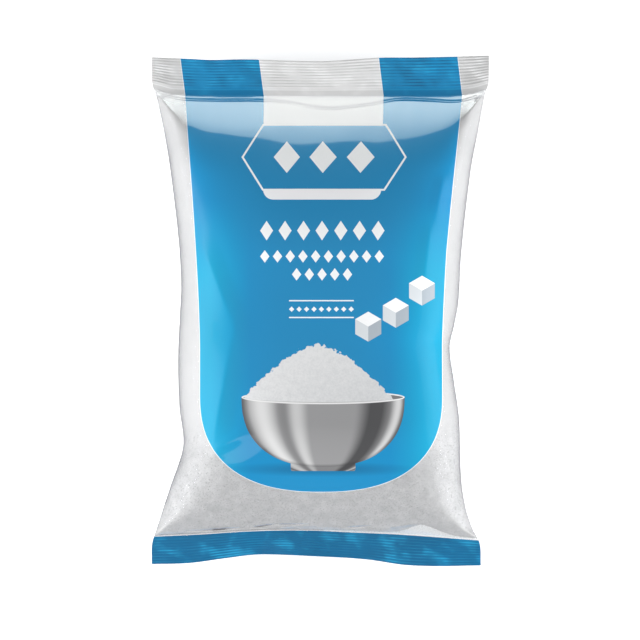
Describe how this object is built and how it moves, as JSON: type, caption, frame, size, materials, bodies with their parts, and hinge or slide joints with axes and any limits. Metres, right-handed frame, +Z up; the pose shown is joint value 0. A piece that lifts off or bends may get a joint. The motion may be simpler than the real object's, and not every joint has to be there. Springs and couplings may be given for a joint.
{
  "type": "sugar packet",
  "caption": "Filled pillow bag of granulated sugar in clear film with a printed front panel, its ends closed by crimped seals, lying on its back.",
  "frame": {"origin": "middle of the bag's bounding box, on the surface it lies on", "axes": "+X across the bag to the right of its printed front, +Y along the bag towards its top seal, +Z up out of the printed front"},
  "size_m": [0.2852, 0.4318, 0.0914],
  "materials": {
    "printed_film": "glossy clear film with a printed blue panel",
    "sugar": "fine white crystals"
  },
  "bodies": {
    "root": {"sugar_bag": "printed_film"}
  },
  "joints": []
}
